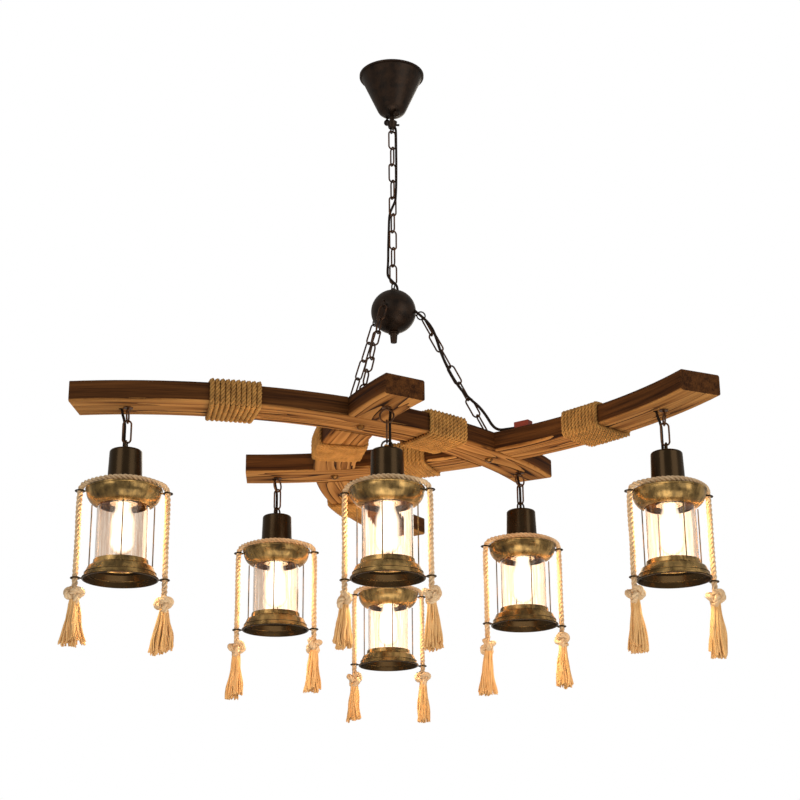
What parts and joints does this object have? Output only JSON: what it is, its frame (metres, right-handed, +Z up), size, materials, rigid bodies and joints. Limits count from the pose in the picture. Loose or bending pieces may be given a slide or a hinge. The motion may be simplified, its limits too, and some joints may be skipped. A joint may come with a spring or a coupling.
{
  "type": "pendant light",
  "caption": "Rustic pendant light: glass lanterns with rope handles hang under crossed curved timber beams on a chain.",
  "frame": {"origin": "centre of the canopy at the ceiling face", "axes": "+Z up, through the chain; the front seen in the reference is towards -Y"},
  "size_m": [1.0215, 0.9117, 1.1358],
  "materials": {
    "bracket_steel": "satin",
    "bronze": "satin",
    "antique_metal": "satin",
    "antique_brass": "aged",
    "brass": "polished",
    "cord": "matte",
    "timber": "stained",
    "beam_rope": "matte",
    "lantern_rope": "matte",
    "block_orange": "gloss",
    "holder": "matte",
    "bulb_glass": "frosted, lit",
    "clear_glass": "clear"
  },
  "bodies": {
    "ceiling": {"ceiling_bracket": "bracket_steel", "canopy": "bronze", "canopy_fixings": "bronze", "hang_stem": "bronze"},
    "loop": {"hang_loop": "bronze"},
    "chain": {"main_chain": "bronze", "supply_cord": "cord"},
    "frame": {"ball_shell": "bronze", "ball_fittings": "bronze", "support_chains": "bronze", "beam_left": "timber", "beam_right": "timber", "beam_back": "timber", "eye_bolts": "brass", "rope_wraps": "beam_rope", "screw_eyes": "antique_metal", "feed_cord": "cord", "terminal_block": "block_orange"},
    "link_1": {"hanger_1": "antique_metal"},
    "lantern_1": {"lantern_1_cap": "antique_brass", "lantern_1_lampholder": "holder", "lantern_1_bulb": "bulb_glass", "lantern_1_glass": "clear_glass", "lantern_1_base": "antique_brass", "lantern_1_rope": "lantern_rope"},
    "link_2": {"hanger_2": "antique_metal"},
    "lantern_2": {"lantern_2_cap": "antique_brass", "lantern_2_lampholder": "holder", "lantern_2_bulb": "bulb_glass", "lantern_2_glass": "clear_glass", "lantern_2_base": "antique_brass", "lantern_2_rope": "lantern_rope"},
    "link_3": {"hanger_3": "antique_metal"},
    "lantern_3": {"lantern_3_cap": "antique_brass", "lantern_3_lampholder": "holder", "lantern_3_bulb": "bulb_glass", "lantern_3_glass": "clear_glass", "lantern_3_base": "antique_brass", "lantern_3_rope": "lantern_rope"},
    "link_4": {"hanger_4": "antique_metal"},
    "lantern_4": {"lantern_4_cap": "antique_brass", "lantern_4_lampholder": "holder", "lantern_4_bulb": "bulb_glass", "lantern_4_glass": "clear_glass", "lantern_4_base": "antique_brass", "lantern_4_rope": "lantern_rope"},
    "link_5": {"hanger_5": "antique_metal"},
    "lantern_5": {"lantern_5_cap": "antique_brass", "lantern_5_lampholder": "holder", "lantern_5_bulb": "bulb_glass", "lantern_5_glass": "clear_glass", "lantern_5_base": "antique_brass", "lantern_5_rope": "lantern_rope"},
    "link_6": {"hanger_6": "antique_metal"},
    "lantern_6": {"lantern_6_cap": "antique_brass", "lantern_6_lampholder": "holder", "lantern_6_bulb": "bulb_glass", "lantern_6_glass": "clear_glass", "lantern_6_base": "antique_brass", "lantern_6_rope": "lantern_rope"}
  },
  "joints": [
    {"name": "loop_swivel", "type": "hinge", "parent": "ceiling", "child": "loop", "pos_m": [0, 0, -0.1045], "axis": [0, 0, 1], "range_deg": [-90, 90]},
    {"name": "chain_swing", "type": "hinge", "parent": "loop", "child": "chain", "pos_m": [0, 0, -0.1205], "axis": [-0.4226, 0.9063, 0], "range_deg": [-12, 12]},
    {"name": "frame_swing", "type": "hinge", "parent": "chain", "child": "frame", "pos_m": [0, 0, -0.4238], "axis": [0.9063, 0.4226, 0], "range_deg": [-8, 8]},
    {"name": "link_swing_1", "type": "hinge", "parent": "frame", "child": "link_1", "pos_m": [-0.41961, -0.26206, -0.76886], "axis": [0, 1, 0], "range_deg": [-12, 12]},
    {"name": "lantern_swing_1", "type": "hinge", "parent": "link_1", "child": "lantern_1", "pos_m": [-0.41961, -0.26206, -0.80256], "axis": [1, 0, 0], "range_deg": [-12, 12]},
    {"name": "link_swing_2", "type": "hinge", "parent": "frame", "child": "link_2", "pos_m": [-0.212, 0.13531, -0.76886], "axis": [0.5, 0.866, 0], "range_deg": [-12, 12]},
    {"name": "lantern_swing_2", "type": "hinge", "parent": "link_2", "child": "lantern_2", "pos_m": [-0.212, 0.13531, -0.80256], "axis": [0.866, -0.5, 0], "range_deg": [-12, 12]},
    {"name": "link_swing_3", "type": "hinge", "parent": "frame", "child": "link_3", "pos_m": [-0.01118, -0.25125, -0.76886], "axis": [1, 0, 0], "range_deg": [-12, 12]},
    {"name": "lantern_swing_3", "type": "hinge", "parent": "link_3", "child": "lantern_3", "pos_m": [-0.01118, -0.25125, -0.80256], "axis": [0, -1, 0], "range_deg": [-12, 12]},
    {"name": "link_swing_4", "type": "hinge", "parent": "frame", "child": "link_4", "pos_m": [-0.01714, 0.49442, -0.76886], "axis": [0.866, 0.5, 0], "range_deg": [-12, 12]},
    {"name": "lantern_swing_4", "type": "hinge", "parent": "link_4", "child": "lantern_4", "pos_m": [-0.01714, 0.49442, -0.80256], "axis": [0.5, -0.866, 0], "range_deg": [-12, 12]},
    {"name": "link_swing_5", "type": "hinge", "parent": "frame", "child": "link_5", "pos_m": [0.22318, 0.11594, -0.76886], "axis": [0.7071, 0.7071, 0], "range_deg": [-12, 12]},
    {"name": "lantern_swing_5", "type": "hinge", "parent": "link_5", "child": "lantern_5", "pos_m": [0.22318, 0.11594, -0.80256], "axis": [0.7071, -0.7071, 0], "range_deg": [-12, 12]},
    {"name": "link_swing_6", "type": "hinge", "parent": "frame", "child": "link_6", "pos_m": [0.43178, -0.22451, -0.76886], "axis": [0, 1, 0], "range_deg": [-12, 12]},
    {"name": "lantern_swing_6", "type": "hinge", "parent": "link_6", "child": "lantern_6", "pos_m": [0.43178, -0.22451, -0.80256], "axis": [1, 0, 0], "range_deg": [-12, 12]}
  ]
}
